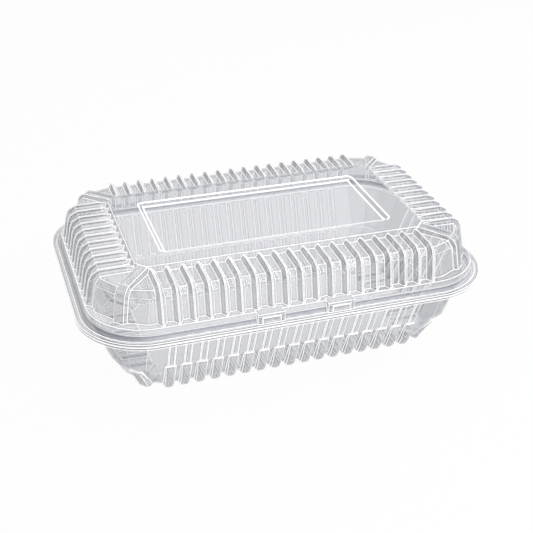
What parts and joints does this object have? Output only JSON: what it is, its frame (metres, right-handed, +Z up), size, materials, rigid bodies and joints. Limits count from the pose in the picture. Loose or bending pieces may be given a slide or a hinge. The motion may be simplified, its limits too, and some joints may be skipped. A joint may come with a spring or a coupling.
{
  "type": "cake container",
  "caption": "Clear hinged-lid cake container: an oblong fluted tray and a fluted lid with a recessed top panel, joined by a fold along the back.",
  "frame": {"origin": "centre of the tray's floor, on the plane it stands on", "axes": "+X along the long side, +Y towards the fold at the back, +Z up"},
  "size_m": [0.238, 0.162, 0.075],
  "materials": {
    "clear_plastic": "clear formed sheet, glossy"
  },
  "bodies": {
    "base": {"base": "clear_plastic"},
    "lid": {"lid": "clear_plastic"}
  },
  "joints": [
    {"name": "lid_hinge", "type": "hinge", "parent": "base", "child": "lid", "pos_m": [0, 0.083, 0.047], "axis": [-1, 0, 0], "range_deg": [0, 180]}
  ]
}
